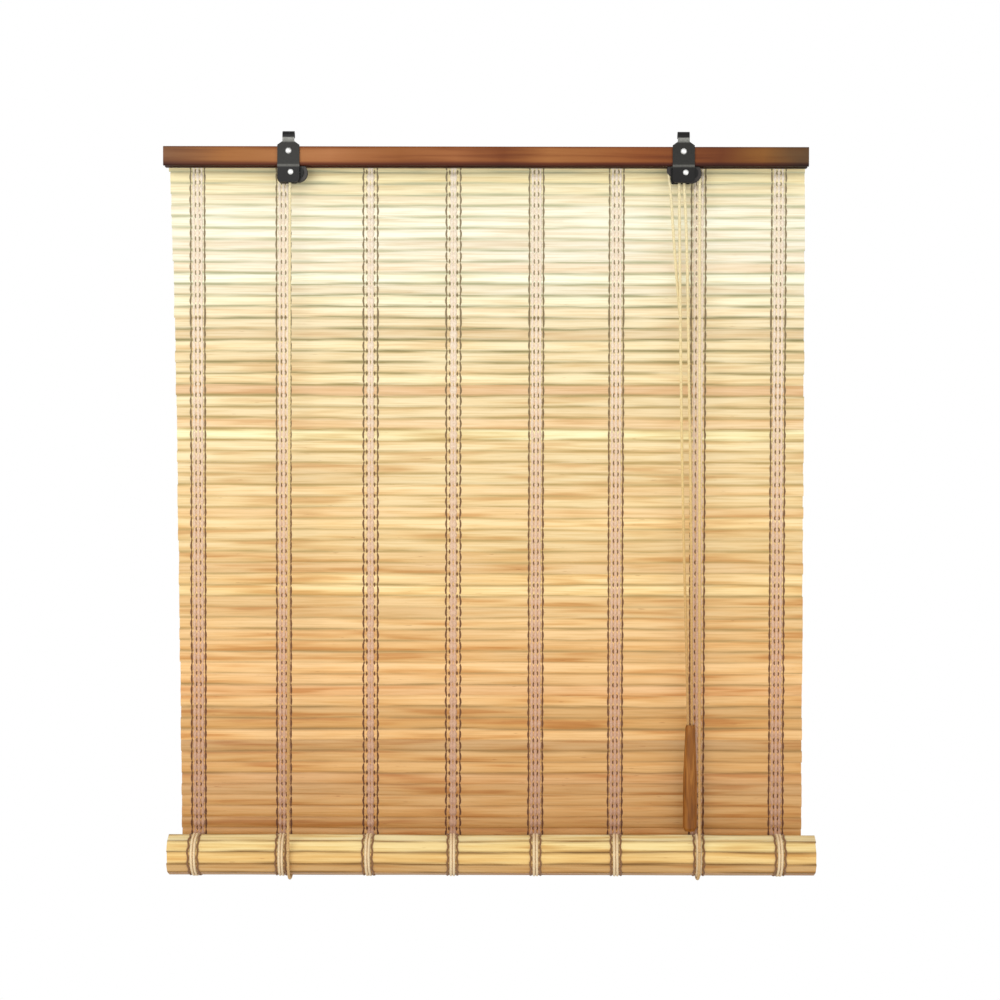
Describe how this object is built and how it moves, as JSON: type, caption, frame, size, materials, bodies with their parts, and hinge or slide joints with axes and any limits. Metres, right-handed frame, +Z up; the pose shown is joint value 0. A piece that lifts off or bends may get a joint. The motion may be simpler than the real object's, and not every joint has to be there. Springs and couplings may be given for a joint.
{
  "type": "bamboo roller blind",
  "caption": "Split-bamboo roller blind: wooden headrail on two steel hooks, slat mat tied by warp bands, bottom roll lifted by cords over pulleys, with a wooden cord pull.",
  "frame": {"origin": "midway between the two hooks, on the axis of their bends", "axes": "+Z up, +X to the right seen from the room, -Y to the room"},
  "size_m": [0.6092, 0.0496, 0.6993],
  "materials": {
    "stained_wood": "brown stain, mottled",
    "split_bamboo": "natural, lightly varnished",
    "plain_wood": "bare",
    "brown_wood": "brown stain",
    "warp_yarn": "twisted brown and pale yarn",
    "cord": "twisted cotton",
    "black_steel": "black, worn bright on the bends",
    "bright_steel": "zinc plated",
    "brown_plastic": "dark brown"
  },
  "bodies": {
    "headrail_frame": {"headrail": "stained_wood", "left_hook_plate": "black_steel", "right_hook_plate": "black_steel", "plate_screws": "bright_steel", "plate_rivets": "bright_steel", "spacer_washers": "bright_steel", "left_front_cheek": "black_steel", "left_back_cheek": "black_steel", "right_front_cheek": "black_steel", "right_back_cheek": "black_steel", "pulley_axles": "bright_steel", "guide_axle": "bright_steel", "left_spacer_pin": "bright_steel", "slat_mat": "split_bamboo", "mat_nails": "bright_steel", "warp_band_1": "warp_yarn", "warp_band_2": "warp_yarn", "warp_band_3": "warp_yarn", "warp_band_4": "warp_yarn", "warp_band_5": "warp_yarn", "warp_band_6": "warp_yarn", "warp_band_7": "warp_yarn", "warp_band_8": "warp_yarn", "cord_staples": "bright_steel", "cross_cord": "cord", "right_cord_turn": "cord", "left_front_cord": "cord", "right_front_cord": "cord", "left_back_cord": "cord", "right_back_cord": "cord", "left_pull_cord": "cord", "right_pull_cord": "cord"},
    "cord_sling": {"left_cord_bight": "cord", "right_cord_bight": "cord", "cord_pull": "brown_wood"},
    "bottom_roll": {"rolled_turns": "split_bamboo", "roll_warp_bands": "warp_yarn", "roll_core": "plain_wood"},
    "left_wheel": {"left_pulley": "brown_plastic"},
    "right_wheel": {"right_pulley": "brown_plastic"},
    "guide_wheel": {"guide_roller": "brown_plastic"}
  },
  "joints": [
    {"name": "roll_lift", "type": "slide", "parent": "headrail_frame", "child": "cord_sling", "axis": [0, 0, 1], "range_m": [0, 0.5], "deforming": ["slat_mat", "warp_band_1", "warp_band_2", "warp_band_3", "warp_band_4", "warp_band_5", "warp_band_6", "warp_band_7", "warp_band_8", "left_front_cord", "right_front_cord", "left_back_cord", "right_back_cord", "left_pull_cord", "right_pull_cord"]},
    {"name": "roll_turn", "type": "hinge", "parent": "cord_sling", "child": "bottom_roll", "pos_m": [0, 0.0017, -0.671], "axis": [1, 0, 0], "range_deg": [-1560, 0]},
    {"name": "left_pulley_turn", "type": "hinge", "parent": "headrail_frame", "child": "left_wheel", "pos_m": [-0.1753, 0.0042, -0.034], "axis": [0, 1, 0], "continuous": true},
    {"name": "right_pulley_turn", "type": "hinge", "parent": "headrail_frame", "child": "right_wheel", "pos_m": [0.1917, 0.0042, -0.034], "axis": [0, 1, 0], "continuous": true},
    {"name": "guide_roller_turn", "type": "hinge", "parent": "headrail_frame", "child": "guide_wheel", "pos_m": [0.1749, 0.0042, -0.0315], "axis": [0, 1, 0], "continuous": true}
  ],
  "couplings": [
    {"joint": "roll_turn", "follows": "roll_lift", "rad_per_m": -54.348},
    {"joint": "left_pulley_turn", "follows": "roll_lift", "rad_per_m": 266.67},
    {"joint": "right_pulley_turn", "follows": "roll_lift", "rad_per_m": -266.67},
    {"joint": "guide_roller_turn", "follows": "roll_lift", "rad_per_m": 400}
  ]
}
